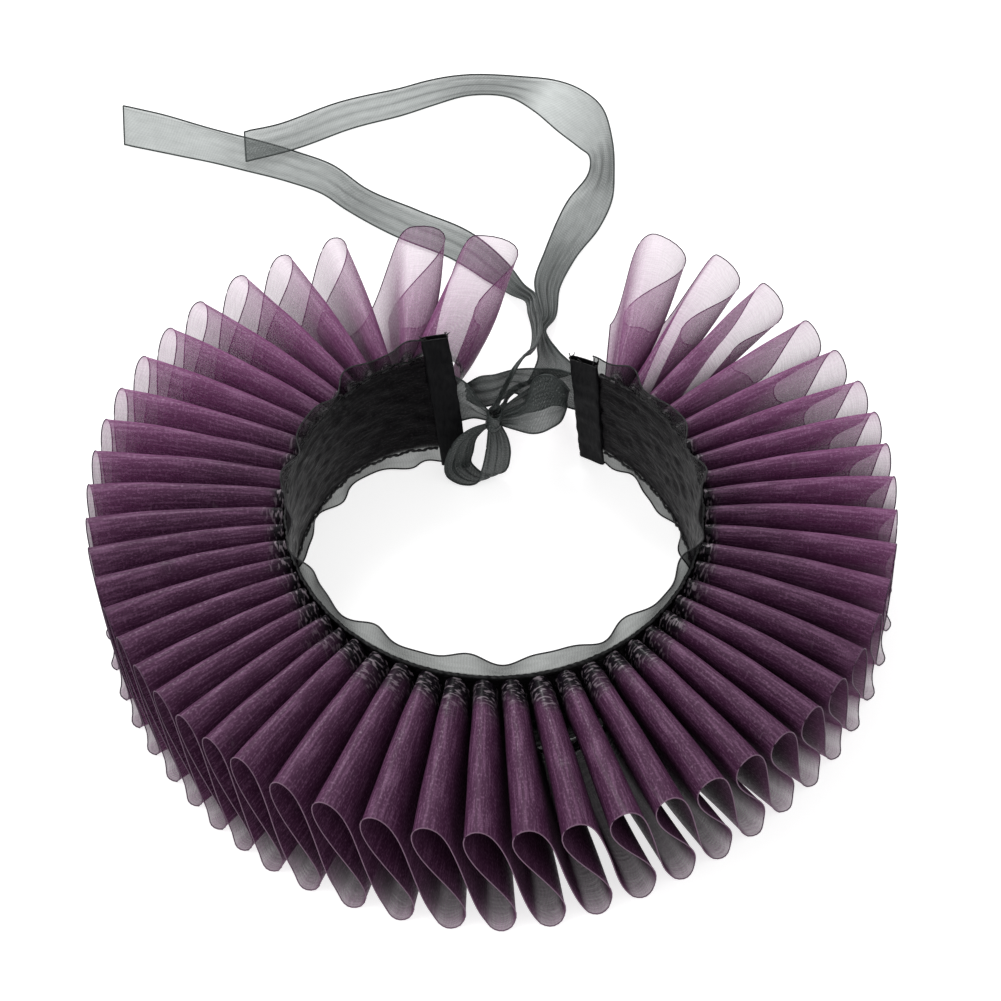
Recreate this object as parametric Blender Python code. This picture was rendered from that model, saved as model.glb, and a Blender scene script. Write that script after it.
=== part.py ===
"""Ruff collar: an organza strip set in standing waves round a neckband that ties at the back."""

import math

import bpy
import numpy as np

# Sizes are in metres and angles in degrees.
# Azimuth 0 is the closed front, at -Y. It grows towards +X, and the collar opens at the back, at +Y.
NECK_X = 0.00595  # the neck's centre, so that the origin is under the middle of the whole part
NECK_Y = -0.05802

# Neckband
BAND_RADIUS = 0.0660
BAND_FORWARD = 0.0040  # the band lies this much nearer the front than the rim's circle
BAND_OVAL = 0.0010  # deeper from front to back than from side to side
BAND_WALL = 0.0012
BAND_FOOT = 0.0010
BAND_TOP = 0.0540
LOW_SEAM = 0.0070
TOP_SEAM = 0.0460
BAND_FROM = -159.0
BAND_TO = 145.0
BAND_COLUMNS = 84
BAND_LEVELS = (0.0, 0.06, 0.115, 0.40, 0.65, 0.85, 0.925, 1.0)  # shares of its height
FREE_EDGE_WAVE = 0.0016
FREE_EDGE_LIFT = 0.0010
FREE_EDGE_COUNT = 16  # ripples in a full turn
FREE_EDGE_MINOR = 27
FREE_EDGE_MINOR_SHARE = 0.4
FREE_EDGE_FADE = 8.0  # degrees from each end over which the ripples start
TOP_PHASE = 1.1  # where the ripples start, in radians
TOP_MINOR_PHASE = 1.0
FOOT_PHASE = 2.0
LIFT_PHASE = 0.7

# Near each end the band tips over and its edge slants. Offsets at the end, top against foot.
END_REACH = 30.0  # degrees over which this fades out
END_PAST = 1.4  # the fade's value where the bound ends stop growing
LEFT_TIP = 0.0080
LEFT_SLANT = 3.3
LEFT_CURL = 0.0035  # how far the end as a whole comes inwards
RIGHT_TIP = -0.0030
RIGHT_SLANT = 2.4
RIGHT_CURL = 0.0005

# Bound ends of the neckband
END_WALL = 0.0022
END_WIDTH = 9.0
END_GAP = 0.30
END_FOOT = 0.0006
LEFT_END_TOP = 0.0546
RIGHT_END_TOP = 0.0505

# Ruff strip
RUFF_WALL = 0.0010
SEAM_GAP = 0.0007  # to the middle of the strip's edge, which leaves 0.3 mm at its corners
RUFF_START = -0.42  # in waves: the strip's two cut ends
RUFF_END = 49.42
LEFT_HALVES = 10  # half waves from the left end, each a node so that its petal stays open to collision
RIGHT_HALVES = 8  # the same from the right end
FRONT_DIVIDE = 24.5  # where the rest of the strip is divided in two
FOOT_JOIN = 0.005  # in waves: left off each side of a division at a foot, 0.3 mm in all at the band
CREST_JOIN = 0.014  # the same at a crest, where the wall turns round its own inner corner
SQUARE_STEP = 0.012  # in waves: a section this near an end at a crest keeps the end face square
RUFF_NEAREST = 0.028  # in waves: no other section lies nearer than this to an end
RUFF_REST = 0.0004  # height of the wall's middle where a wave rests, so that its underside is flat
BAND_SHARE = 0.50  # a wave is this much as wide at the band as at the rim
LEAN_SHIFT = 0.0074  # sideways offsets of the wave, as measures at the rim
LEAN = 0.0081
LEAN_SHARP = 0.0007
BULGE = 0.0035
BELLY_PEAK = 0.56  # largest value of the belly's curve before it is scaled
BELLY_EARLY = 0.25  # power of the share of the way out: small, so that a belly starts near the band
BELLY_POWER = 1.5  # how soon a belly fades below the crest
FLAT_SHARE = 0.025  # of its height, pressed flat where a wave rests
RIDGE_BOW = 0.0020
STATIONS = (0.0, 0.45, 1.0)  # shares of the way from band to rim
WAVE_STEPS = (0.0, 0.045, 0.10, 0.18, 0.30, 0.40, 0.455, 0.5, 0.545, 0.61, 0.70, 0.82, 0.90, 0.955)

# A row for each wave at which the spacing or the reach changes; the ones between are interpolated.
# spread is how much more of a wave's width its foot takes than its crest. open_before and
# open_after are how far the sides of its crest belly out towards the wave before and the one after.
WAVE_COLUMNS = (
    "wave", "band_deg", "rim_deg", "crest_reach", "foot_reach", "crest_height", "spread",
    "open_before", "open_after",
)
WAVES = (
    (-1, -188.0, -200.0, 0.1120, 0.1140, 0.0470, 0.2, 0.0080, -0.0010),
    (0, -160.0, -177.2, 0.1145, 0.1160, 0.0470, 0.5, 0.0080, -0.0010),
    (1, -154.0, -166.5, 0.1205, 0.1200, 0.0484, 0.6, 0.0078, -0.0005),
    (2, -148.0, -153.7, 0.1245, 0.1245, 0.0484, 0.6, 0.0006, -0.0006),
    (3, -142.0, -144.9, 0.1262, 0.1260, 0.0484, 0.5, 0.0012, -0.0006),
    (5, -129.6, -129.3, 0.1283, 0.1268, 0.0484, 0.3, 0.0005, 0.0),
    (8, -110.0, -109.0, 0.1288, 0.1262, 0.0484, 0.1, 0.0, 0.0),
    (12, -84.5, -84.3, 0.1279, 0.1258, 0.0484, 0.0, 0.0, 0.0),
    (17, -56.8, -56.8, 0.1272, 0.1258, 0.0484, 0.0, 0.0, 0.0),
    (21, -36.0, -35.8, 0.1264, 0.1290, 0.0484, 0.0, 0.0, 0.0),
    (23, -22.7, -22.5, 0.1275, 0.1298, 0.0484, 0.0, 0.0, 0.0),
    (26, -2.5, -2.1, 0.1279, 0.1308, 0.0484, 0.0, 0.0, 0.0),
    (29, 17.2, 17.3, 0.1272, 0.1262, 0.0484, 0.0, 0.0, 0.0),
    (32, 36.0, 36.2, 0.1262, 0.1252, 0.0484, 0.0, 0.0, 0.0),
    (36, 59.9, 59.9, 0.1272, 0.1274, 0.0484, 0.0, 0.0, 0.0),
    (40, 85.0, 85.6, 0.1264, 0.1292, 0.0484, 0.0, 0.0, 0.0),
    (44, 109.5, 110.4, 0.1278, 0.1270, 0.0484, 0.1, 0.0015, 0.0),
    (46, 121.9, 124.7, 0.1270, 0.1265, 0.0484, 0.3, 0.0034, -0.0010),
    (47, 128.1, 134.9, 0.1283, 0.1265, 0.0484, 0.5, 0.0056, -0.0020),
    (48, 134.2, 144.0, 0.1286, 0.1260, 0.0484, 0.5, 0.0064, -0.0024),
    (49, 140.2, 153.9, 0.1267, 0.1240, 0.0484, 0.3, 0.0068, 0.0013),
    (50, 146.0, 156.5, 0.1220, 0.1200, 0.0484, 0.0, 0.0060, 0.0010),
)

# Ribbon
RIBBON_WALL = 0.0010
RIBBON_ACROSS = 2
TAIL_STEP = 0.0045  # length of one facet along it
LEFT_TIE_STEP = 0.0020
RIGHT_TIE_STEP = 0.0030
LOOP_STEP = 0.0025

# Each row is a section of a ribbon: x, y, z of one edge and x, y, z of the other, in millimetres
# from the neck's centre at table height.
LONG_TAIL = (
    (-140.9, 230.5, 0.6, -138.6, 209.2, 0.6),
    (-124.8, 225.0, 0.6, -118.6, 203.4, 0.6),
    (-93.6, 212.8, 0.6, -94.4, 195.7, 0.6),
    (-74.9, 205.6, 0.6, -78.2, 189.8, 0.6),
    (-60.6, 198.0, 0.8, -64.4, 183.2, 0.6),
    (-47.5, 184.2, 2.0, -54.0, 174.0, 0.6),
    (-28.3, 172.4, 2.4, -36.5, 160.8, 0.6),
    (-7.6, 160.6, 1.4, -15.6, 149.4, 0.6),
    (4.8, 146.0, 1.2, -3.0, 138.6, 0.6),
    (10.4, 132.6, 4.6, 5.6, 129.6, 2.4),
    (14.2, 120.4, 12.4, 11.0, 119.4, 9.4),
    (15.2, 105.2, 21.8, 11.8, 104.8, 18.2),
    (16.2, 88.2, 29.6, 13.2, 87.6, 26.4),
    (13.8, 70.0, 39.0, 11.4, 69.0, 36.2),
    (11.0, 62.4, 43.6, 8.8, 61.0, 42.4),
    (8.0, 57.2, 43.8, 6.0, 56.2, 42.8),
    (5.6, 54.5, 39.8, 3.6, 54.1, 38.6),
    (3.4, 53.2, 34.8, 1.6, 52.8, 34.0),
    (1.8, 51.9, 31.0, -0.2, 51.5, 30.4),
    (0.9, 50.9, 29.2, -1.1, 50.5, 29.2),
)
SHORT_TAIL = (
    (-93.7, 213.2, 3.2, -92.1, 197.4, 3.0),
    (-82.0, 217.0, 3.2, -76.6, 203.4, 2.6),
    (-58.6, 231.8, 1.2, -55.4, 217.2, 0.6),
    (-37.1, 239.6, 1.0, -34.2, 225.4, 0.6),
    (-26.0, 243.8, 1.2, -23.4, 230.6, 0.6),
    (-9.0, 246.4, 2.0, -8.4, 236.4, 0.6),
    (9.4, 246.2, 1.4, 6.4, 235.0, 0.6),
    (23.0, 245.0, 0.8, 15.2, 227.4, 0.6),
    (33.6, 239.0, 0.6, 24.0, 215.8, 1.2),
    (41.4, 228.4, 0.6, 31.6, 205.0, 3.2),
    (44.4, 211.0, 0.8, 35.6, 197.4, 5.2),
    (44.6, 194.0, 0.8, 34.6, 188.2, 4.6),
    (43.4, 179.4, 0.6, 27.8, 178.6, 2.2),
    (38.6, 165.4, 0.6, 23.2, 168.2, 1.0),
    (29.4, 149.4, 0.8, 18.4, 152.4, 1.0),
    (23.6, 134.4, 1.2, 14.6, 135.6, 2.6),
    (21.4, 117.6, 2.4, 16.6, 117.0, 4.6),
    (18.4, 109.0, 6.6, 15.4, 110.2, 7.6),
    (18.8, 99.7, 12.0, 15.6, 100.6, 12.6),
    (22.2, 87.2, 18.0, 15.0, 89.4, 17.6),
    (26.6, 71.9, 24.0, 14.4, 77.0, 22.6),
    (20.0, 66.8, 26.6, 11.6, 69.6, 22.6),
    (11.6, 64.8, 27.6, 7.6, 64.6, 23.4),
    (5.4, 61.4, 27.2, 4.6, 61.0, 23.2),
    (3.2, 56.8, 25.6, 2.8, 56.6, 22.8),
    (1.2, 55.1, 25.0, 1.0, 55.0, 22.8),
)
LEFT_TIE = (
    (-12.3, 57.6, 37.8, -10.2, 54.2, 21.0),
    (-8.6, 56.0, 35.4, -7.6, 53.8, 21.2),
    (-5.4, 54.0, 31.0, -5.4, 53.2, 21.8),
    (-2.9, 52.3, 27.0, -2.9, 51.9, 22.6),
)
RIGHT_TIE = (
    (27.6, 57.8, 37.8, 28.2, 57.4, 21.2),
    (21.0, 61.0, 37.6, 21.2, 60.2, 20.8),
    (13.6, 60.6, 38.6, 13.6, 59.6, 20.8),
    (6.0, 57.8, 40.6, 6.0, 57.2, 30.4),
    (0.0, 55.8, 40.4, 0.0, 55.2, 27.0),
    (-4.6, 57.2, 38.0, -4.6, 56.2, 24.6),
    (-9.6, 59.4, 31.6, -9.4, 58.8, 25.0),
)
BOW_LOOP = (
    (3.0, 50.2, 27.0, 3.0, 49.8, 22.6),
    (10.9, 54.0, 30.2, 6.6, 46.4, 24.2),
    (12.9, 57.0, 36.2, 12.6, 45.4, 23.2),
    (18.4, 57.2, 38.8, 18.6, 46.6, 24.4),
    (23.4, 55.8, 35.6, 22.9, 50.0, 26.0),
    (25.0, 56.0, 32.4, 24.2, 53.4, 28.4),
    (22.4, 58.4, 34.6, 22.0, 56.2, 26.4),
    (16.0, 58.6, 34.2, 15.8, 56.4, 22.8),
    (9.4, 56.8, 30.6, 9.2, 55.0, 22.4),
    (3.0, 53.0, 26.6, 3.0, 52.6, 22.8),
)
HANGING_LOOP = (
    (1.9, 50.4, 20.3, -1.7, 48.8, 20.3),
    (4.6, 48.8, 16.6, -2.4, 45.6, 15.6),
    (5.4, 47.2, 9.4, -4.0, 42.8, 7.8),
    (3.4, 46.2, 2.6, -6.2, 42.2, 1.4),
    (-3.4, 47.0, 0.7, -11.6, 42.6, 0.7),
    (-9.4, 48.6, 3.4, -15.8, 43.6, 3.4),
    (-10.6, 48.8, 10.6, -15.8, 44.6, 11.8),
    (-8.6, 49.8, 17.0, -12.0, 46.2, 20.0),
    (-5.4, 50.2, 20.4, -6.6, 48.0, 23.2),
    (-3.3, 50.2, 21.6, -3.4, 48.6, 24.4),
)

# Knot
KNOT_AT = (0.0, 50.8, 24.6)
KNOT_HALF = (2.9, 4.2, 3.9)
KNOT_RINGS = 8
KNOT_SIDES = 12
KNOT_GROOVE = 0.10
KNOT_SQUARE = 0.7  # power of the sine: below 1 gives a squarer outline

SHARP_ANGLE = 50.0  # edges sharper than this are drawn sharp

MATERIALS = (
    # name, red, green, blue, roughness
    ("ruff_organza", 0.150, 0.045, 0.140, 0.42),
    ("band_organza", 0.010, 0.009, 0.011, 0.45),
    ("end_binding", 0.006, 0.005, 0.007, 0.55),
    ("ribbon_organza", 0.060, 0.066, 0.066, 0.40),
)


def clear_scene():
    for old in list(bpy.data.objects):
        bpy.data.objects.remove(old, do_unlink=True)


def make_materials():
    for name, red, green, blue, roughness in MATERIALS:
        material = bpy.data.materials.new(name)
        material.use_nodes = True
        shader = material.node_tree.nodes["Principled BSDF"]
        shader.inputs["Base Color"].default_value = (red, green, blue, 1.0)
        shader.inputs["Roughness"].default_value = roughness
        shader.inputs["Metallic"].default_value = 0.0


def add_mesh(name, points, faces, material):
    mesh = bpy.data.meshes.new(name)
    mesh.from_pydata([tuple(point) for point in points], [], faces)
    mesh.update()
    mesh.shade_smooth()
    mesh.set_sharp_from_angle(angle=math.radians(SHARP_ANGLE))
    mesh.materials.append(bpy.data.materials[material])
    obj = bpy.data.objects.new(name, mesh)
    bpy.context.scene.collection.objects.link(obj)
    return obj


def signed_volume(points, faces):
    corners = np.asarray(points)[np.asarray(faces)]
    return float(np.linalg.det(corners).sum()) / 6.0


def normals_of(grid):
    along = np.gradient(grid, axis=0)
    across = np.gradient(grid, axis=1)
    normals = np.cross(along, across)
    return normals / np.linalg.norm(normals, axis=2, keepdims=True)


def cloth_solid(name, grid, wall, material):
    """A closed wall of even thickness whose middle runs through a grid of points."""
    half = normals_of(grid) * wall / 2.0
    rows, columns = grid.shape[:2]
    points = np.concatenate([(grid + half).reshape(-1, 3), (grid - half).reshape(-1, 3)])
    points[:, 2] = np.maximum(points[:, 2], 0.0)
    lower = rows * columns
    faces = []
    for i in range(rows - 1):
        for j in range(columns - 1):
            a = i * columns + j
            b, c, d = a + 1, a + columns + 1, a + columns
            faces += [(a, b, c), (a, c, d)]
            faces += [(a + lower, c + lower, b + lower), (a + lower, d + lower, c + lower)]
    loop = [i * columns for i in range(rows)]
    loop += [(rows - 1) * columns + j for j in range(1, columns)]
    loop += [i * columns + columns - 1 for i in range(rows - 2, -1, -1)]
    loop += [j for j in range(columns - 2, 0, -1)]
    for a, b in zip(loop, loop[1:] + loop[:1]):
        faces += [(a, b, b + lower), (a, b + lower, a + lower)]
    if signed_volume(points, faces) < 0.0:
        faces = [tuple(reversed(face)) for face in faces]
    points += np.array([NECK_X, NECK_Y, 0.0])
    return add_mesh(name, points, faces, material)


def ring_point(radius, azimuth, height):
    turn = np.radians(azimuth)
    return np.stack(np.broadcast_arrays(radius * np.sin(turn), -radius * np.cos(turn), height), axis=-1)


def band_radius(azimuth):
    turn = np.radians(azimuth)
    return BAND_RADIUS + BAND_FORWARD * np.cos(turn) + BAND_OVAL * np.cos(2.0 * turn)


def on_band(azimuth, height, outwards):
    """Points on the band's middle surface, moved outwards, with its ends tipped and slanted."""
    left = np.clip(1.0 - (azimuth - BAND_FROM) / END_REACH, 0.0, END_PAST)
    right = np.clip(1.0 - (BAND_TO - azimuth) / END_REACH, 0.0, END_PAST)
    tilt = (height - BAND_FOOT) / (BAND_TOP - BAND_FOOT) - 0.5
    left_move = left * (LEFT_TIP * tilt - LEFT_CURL * left)
    right_move = right * (RIGHT_TIP * tilt - RIGHT_CURL * right)
    radius = band_radius(azimuth) + outwards + left_move + right_move
    slanted = azimuth + left * LEFT_SLANT * tilt + right * RIGHT_SLANT * tilt
    return ring_point(radius, slanted, height)


def build_neckband():
    azimuth = np.linspace(BAND_FROM, BAND_TO, BAND_COLUMNS + 1)[:, None]
    level = np.array(BAND_LEVELS)[None, :]
    height = BAND_FOOT + (BAND_TOP - BAND_FOOT) * level
    below = np.clip((LOW_SEAM - height) / (LOW_SEAM - BAND_FOOT), 0.0, 1.0)
    above = np.clip((height - TOP_SEAM) / (BAND_TOP - TOP_SEAM), 0.0, 1.0)
    turn = np.radians(azimuth)
    minor = FREE_EDGE_MINOR_SHARE
    at_top = np.sin(FREE_EDGE_COUNT * turn + TOP_PHASE)
    at_top += minor * np.sin(FREE_EDGE_MINOR * turn + TOP_MINOR_PHASE)
    at_foot = np.sin(FREE_EDGE_COUNT * turn + FOOT_PHASE) + minor * np.sin(FREE_EDGE_MINOR * turn)
    ends = np.clip(np.minimum(azimuth - BAND_FROM, BAND_TO - azimuth) / FREE_EDGE_FADE, 0.0, 1.0)
    wave = FREE_EDGE_WAVE * ends * (above * at_top + below * at_foot)
    lift = FREE_EDGE_LIFT * ends * above * np.cos(FREE_EDGE_COUNT * turn + LIFT_PHASE)
    grid = on_band(azimuth, height, wave)
    grid[:, :, 2] += lift
    return cloth_solid("neckband", grid, BAND_WALL, "band_organza")


def build_end(name, start, end, top):
    azimuth = np.linspace(start, end, 4)[:, None]
    height = np.linspace(END_FOOT, top, 4)[None, :]
    grid = on_band(azimuth, height, (BAND_WALL - END_WALL) / 2.0)
    return cloth_solid(name, grid, END_WALL, "end_binding")


def wave_table():
    table = np.array(WAVES)
    return {name: table[:, i] for i, name in enumerate(WAVE_COLUMNS)}


def ruff_lengths():
    """The strip's lengths: the name of each and its first and last place in waves."""
    left = [half / 2.0 for half in range(LEFT_HALVES)]
    last_half = round(2.0 * RUFF_END)
    right = [half / 2.0 for half in range(last_half - RIGHT_HALVES, last_half)]
    cuts = [RUFF_START] + left + [FRONT_DIVIDE] + right + [RUFF_END]
    names = [f"ruff_left_{i + 1:02d}" for i in range(LEFT_HALVES)]
    names += ["ruff_front_left", "ruff_front_right"]
    names += [f"ruff_right_{i + 1:02d}" for i in range(RIGHT_HALVES)]
    joins = [0.0] + [CREST_JOIN if cut == int(cut) else FOOT_JOIN for cut in cuts[1:-1]] + [0.0]
    for i, name in enumerate(names):
        yield name, cuts[i] + joins[i], cuts[i + 1] - joins[i + 1]


def strip_positions(start, end):
    waves = range(math.floor(start), math.ceil(end))
    steps = [wave + share for wave in waves for share in WAVE_STEPS]
    inside = [step for step in steps if start + RUFF_NEAREST < step < end - RUFF_NEAREST]
    near_ends = (start + SQUARE_STEP, end - SQUARE_STEP)
    square = [place for place in near_ends if abs(place - round(place)) < 2.0 * CREST_JOIN]
    return np.array(sorted([start, end] + square + inside))


def build_ruff(name, start, end):
    table = wave_table()
    along = strip_positions(start, end)
    phase = 2.0 * math.pi * along

    def column(name, at):
        return np.interp(at, table["wave"], table[name])

    rise = (1.0 + np.cos(phase)) / 2.0
    rise = np.clip((rise - FLAT_SHARE) / (1.0 - FLAT_SHARE), 0.0, 1.0)
    side = LEAN_SHIFT - LEAN * np.cos(phase) + LEAN_SHARP * np.cos(3.0 * phase)
    side += BULGE * np.sin(2.0 * phase)
    wave = along - column("spread", along) * np.sin(phase) / (2.0 * math.pi)

    stand = BAND_WALL / 2.0 + SEAM_GAP
    band_deg = column("band_deg", along)
    band_deg = band_deg + np.degrees(side * BAND_SHARE / (band_radius(band_deg) + stand))
    at_band = on_band(band_deg, LOW_SEAM + (TOP_SEAM - LOW_SEAM) * rise, stand)

    foot, crest = column("foot_reach", wave), column("crest_reach", wave)
    reach = foot + (crest - foot) * rise
    before = column("open_before", along) * np.clip(-np.sin(phase), 0.0, 1.0)
    after = column("open_after", along) * np.clip(np.sin(phase), 0.0, 1.0)
    belly = (after - before) * rise**BELLY_POWER / BELLY_PEAK
    rim_deg = column("rim_deg", wave) + np.degrees(side / reach)
    crest_height = column("crest_height", along) - RUFF_WALL / 2.0
    at_rim = ring_point(reach, rim_deg, RUFF_REST + (crest_height - RUFF_REST) * rise)

    turn = np.radians(rim_deg)
    sideways = np.stack([np.cos(turn), np.sin(turn), np.zeros_like(turn)], axis=-1)

    rows = []
    for share in STATIONS:
        row = at_band + (at_rim - at_band) * share
        row += sideways * belly[:, None] * share**BELLY_EARLY
        if share > 0.0:
            ridge = LOW_SEAM * (1.0 - share) * (1.0 - rise)
            row[:, 2] += RIDGE_BOW * 4.0 * share * (1.0 - share) * rise - ridge
        rows.append(row)
    return cloth_solid(name, np.stack(rows, axis=1), RUFF_WALL, "ruff_organza")


def smooth_rows(rows, step):
    """Sections read at even steps from a smooth curve through the given ones."""
    knots = np.array(rows) / 1000.0
    middle = (knots[:, :3] + knots[:, 3:]) / 2.0
    length = np.concatenate([[0.0], np.cumsum(np.linalg.norm(np.diff(middle, axis=0), axis=1))])
    slope = np.gradient(knots, length, axis=0)
    count = max(6, int(round(length[-1] / step)))
    found = []
    for at in np.linspace(0.0, length[-1], count + 1):
        i = min(int(np.searchsorted(length, at, side="right")) - 1, len(length) - 2)
        span = length[i + 1] - length[i]
        t = (at - length[i]) / span
        start = knots[i] * (1.0 + 2.0 * t) * (1.0 - t) ** 2 + slope[i] * span * t * (1.0 - t) ** 2
        end = knots[i + 1] * t * t * (3.0 - 2.0 * t) + slope[i + 1] * span * t * t * (t - 1.0)
        found.append(start + end)
    return np.array(found)


def build_ribbon(name, rows, step):
    sections = smooth_rows(rows, step)
    share = np.linspace(0.0, 1.0, RIBBON_ACROSS + 1)[None, :, None]
    grid = sections[:, None, :3] * (1.0 - share) + sections[:, None, 3:] * share
    grid[:, :, 2] = np.maximum(grid[:, :, 2], RIBBON_WALL / 2.0)
    return cloth_solid(name, grid, RIBBON_WALL, "ribbon_organza")


def build_knot():
    """A tight wrap: a rounded block with one groove round it."""
    points = []
    for i in range(KNOT_RINGS + 1):
        polar = math.pi * i / KNOT_RINGS
        for j in range(KNOT_SIDES):
            if i in (0, KNOT_RINGS) and j:
                continue
            turn = 2.0 * math.pi * j / KNOT_SIDES
            across = math.sin(polar) ** KNOT_SQUARE
            groove = 1.0 - KNOT_GROOVE * math.cos(2.0 * turn) ** 2 * across
            points.append((
                (KNOT_AT[0] + KNOT_HALF[0] * across * math.cos(turn) * groove) / 1000.0 + NECK_X,
                (KNOT_AT[1] + KNOT_HALF[1] * across * math.sin(turn) * groove) / 1000.0 + NECK_Y,
                (KNOT_AT[2] + KNOT_HALF[2] * math.cos(polar)) / 1000.0,
            ))
    faces = []
    for j in range(KNOT_SIDES):
        k = (j + 1) % KNOT_SIDES
        faces.append((0, 1 + j, 1 + k))
        for i in range(KNOT_RINGS - 2):
            a, b = 1 + i * KNOT_SIDES + j, 1 + i * KNOT_SIDES + k
            faces += [(a, a + KNOT_SIDES, b + KNOT_SIDES), (a, b + KNOT_SIDES, b)]
        last = 1 + (KNOT_RINGS - 2) * KNOT_SIDES
        faces.append((last + j, last + KNOT_SIDES, last + k))
    return add_mesh("knot", points, faces, "ribbon_organza")


def build_all():
    clear_scene()
    make_materials()
    build_neckband()
    build_end("end_left", BAND_FROM - END_GAP - END_WIDTH, BAND_FROM - END_GAP, LEFT_END_TOP)
    build_end("end_right", BAND_TO + END_GAP, BAND_TO + END_GAP + END_WIDTH, RIGHT_END_TOP)
    for name, start, end in ruff_lengths():
        build_ruff(name, start, end)
    build_ribbon("tie_left", LEFT_TIE, LEFT_TIE_STEP)
    build_ribbon("tie_right", RIGHT_TIE, RIGHT_TIE_STEP)
    build_knot()
    build_ribbon("bow_loop", BOW_LOOP, LOOP_STEP)
    build_ribbon("hanging_loop", HANGING_LOOP, LOOP_STEP)
    build_ribbon("tail_long", LONG_TAIL, TAIL_STEP)
    build_ribbon("tail_short", SHORT_TAIL, TAIL_STEP)


build_all()
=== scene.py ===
"""The look of the ruff collar: sheer waves, gathered neckband, bound ends and the tied ribbon."""

import math

import bpy
import numpy as np
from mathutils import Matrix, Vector


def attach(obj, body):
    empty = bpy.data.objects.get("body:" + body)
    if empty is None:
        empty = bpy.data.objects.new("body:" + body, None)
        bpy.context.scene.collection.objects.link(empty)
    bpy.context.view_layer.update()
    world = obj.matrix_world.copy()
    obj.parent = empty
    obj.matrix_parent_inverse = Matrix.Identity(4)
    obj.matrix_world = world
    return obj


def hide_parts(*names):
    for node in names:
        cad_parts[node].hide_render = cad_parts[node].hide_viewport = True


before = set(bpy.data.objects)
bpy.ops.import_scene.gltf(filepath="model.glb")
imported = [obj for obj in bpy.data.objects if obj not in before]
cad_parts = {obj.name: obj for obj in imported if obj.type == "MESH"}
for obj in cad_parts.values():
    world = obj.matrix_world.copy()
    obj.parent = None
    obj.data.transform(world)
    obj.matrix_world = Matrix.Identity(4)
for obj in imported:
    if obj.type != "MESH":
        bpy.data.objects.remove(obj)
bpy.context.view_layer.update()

# Sizes are in metres and angles in degrees, as in the part's own source.
NECK = np.array([0.00595, -0.05802, 0.0])

# Neckband
BAND_RADIUS = 0.0660
BAND_FORWARD = 0.0040
BAND_OVAL = 0.0010
BAND_WALL = 0.0012
BAND_FOOT = 0.0010
BAND_TOP = 0.0540
LOW_SEAM = 0.0070
TOP_SEAM = 0.0460
BAND_FROM = -159.0
BAND_TO = 145.0
FREE_EDGE_WAVE = 0.0016
FREE_EDGE_LIFT = 0.0010
FREE_EDGE_COUNT = 16
FREE_EDGE_MINOR = 27
FREE_EDGE_MINOR_SHARE = 0.4
FREE_EDGE_FADE = 8.0
TOP_PHASE = 1.1
TOP_MINOR_PHASE = 1.0
FOOT_PHASE = 2.0
LIFT_PHASE = 0.7
END_REACH = 30.0
END_PAST = 1.4
LEFT_TIP = 0.0080
LEFT_SLANT = 3.3
LEFT_CURL = 0.0035
RIGHT_TIP = -0.0030
RIGHT_SLANT = 2.4
RIGHT_CURL = 0.0005
END_WALL = 0.0022
END_WIDTH = 9.0
END_GAP = 0.30
END_FOOT = 0.0006
LEFT_END_TOP = 0.0546
RIGHT_END_TOP = 0.0505

TUCKED_IN = 2.0  # how far the band's cloth goes on inside its bound ends
BAND_CRUSH = 0.0004  # height of the crushed gathers
BAND_FINE_CRUSH = 0.0002
BAND_EDGE_THREAD = 0.00028
SEAM_THREAD = 0.00048
END_CREASE = 0.00025
FRINGE_THREAD = 0.00018
FRINGE_COUNT = 14

# Ruff strip
LEFT_HALVES = 10
RIGHT_HALVES = 8
RUFF_NODES = [f"ruff_left_{i + 1:02d}" for i in range(LEFT_HALVES)] + ["ruff_front_left", "ruff_front_right"]
RUFF_NODES += [f"ruff_right_{i + 1:02d}" for i in range(RIGHT_HALVES)]
RUFF_START = -0.42
RUFF_END = 49.42
SEAM_GAP = 0.0007
BAND_SHARE = 0.50
LEAN_SHIFT = 0.0074
LEAN = 0.0081
LEAN_SHARP = 0.0007
BULGE = 0.0035
BELLY_PEAK = 0.56
BELLY_POWER = 1.5
FLAT_SHARE = 0.025
RIDGE_BOW = 0.0020
RUFF_REST = 0.0004
CREST_DROP = 0.0005
RUFF_STEPS = 44  # sections in one wave
RUFF_ROWS = 17  # rows from the band to the rim
GATHER_GAP = 0.0009  # left open between two waves where they are gathered to the band
FOOT_ROUND = 0.0030  # how much further out a foot's middle reaches than its corners
RIDGE_NARROW = 0.16  # how narrow the painted highlight line along a crest is, as a sine of its place in the wave
PUCKERS = 7  # small puckers in a wave at its seam
PUCKER_DEEP = 0.00030
PUCKER_REACH = 0.009
CRUMPLE = 0.00022  # height of the broad creases
FINE_CRUMPLE = 0.00006
RIM_THREAD = 0.00020  # radius of the selvedge
CUT_THREAD = 0.00025

# How many layers of net seem to lie on each other. Toward the front the extra layers also darken the cloth
# as painted shade, for the shadow under the front.
LAYERS_TIP = 0.62
LAYERS_FRONT = 4.8
LAYERS_LEFT = 1.6
LAYERS_SEAM = 2.2
FOOT_THIN = 0.74  # how much of the front's layers the feet lack at the rim

# How far the dark crinkles reach from the seam, at the back and further at the front
CRINKLE_BACK = 0.004
CRINKLE_FRONT = 0.014

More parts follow.
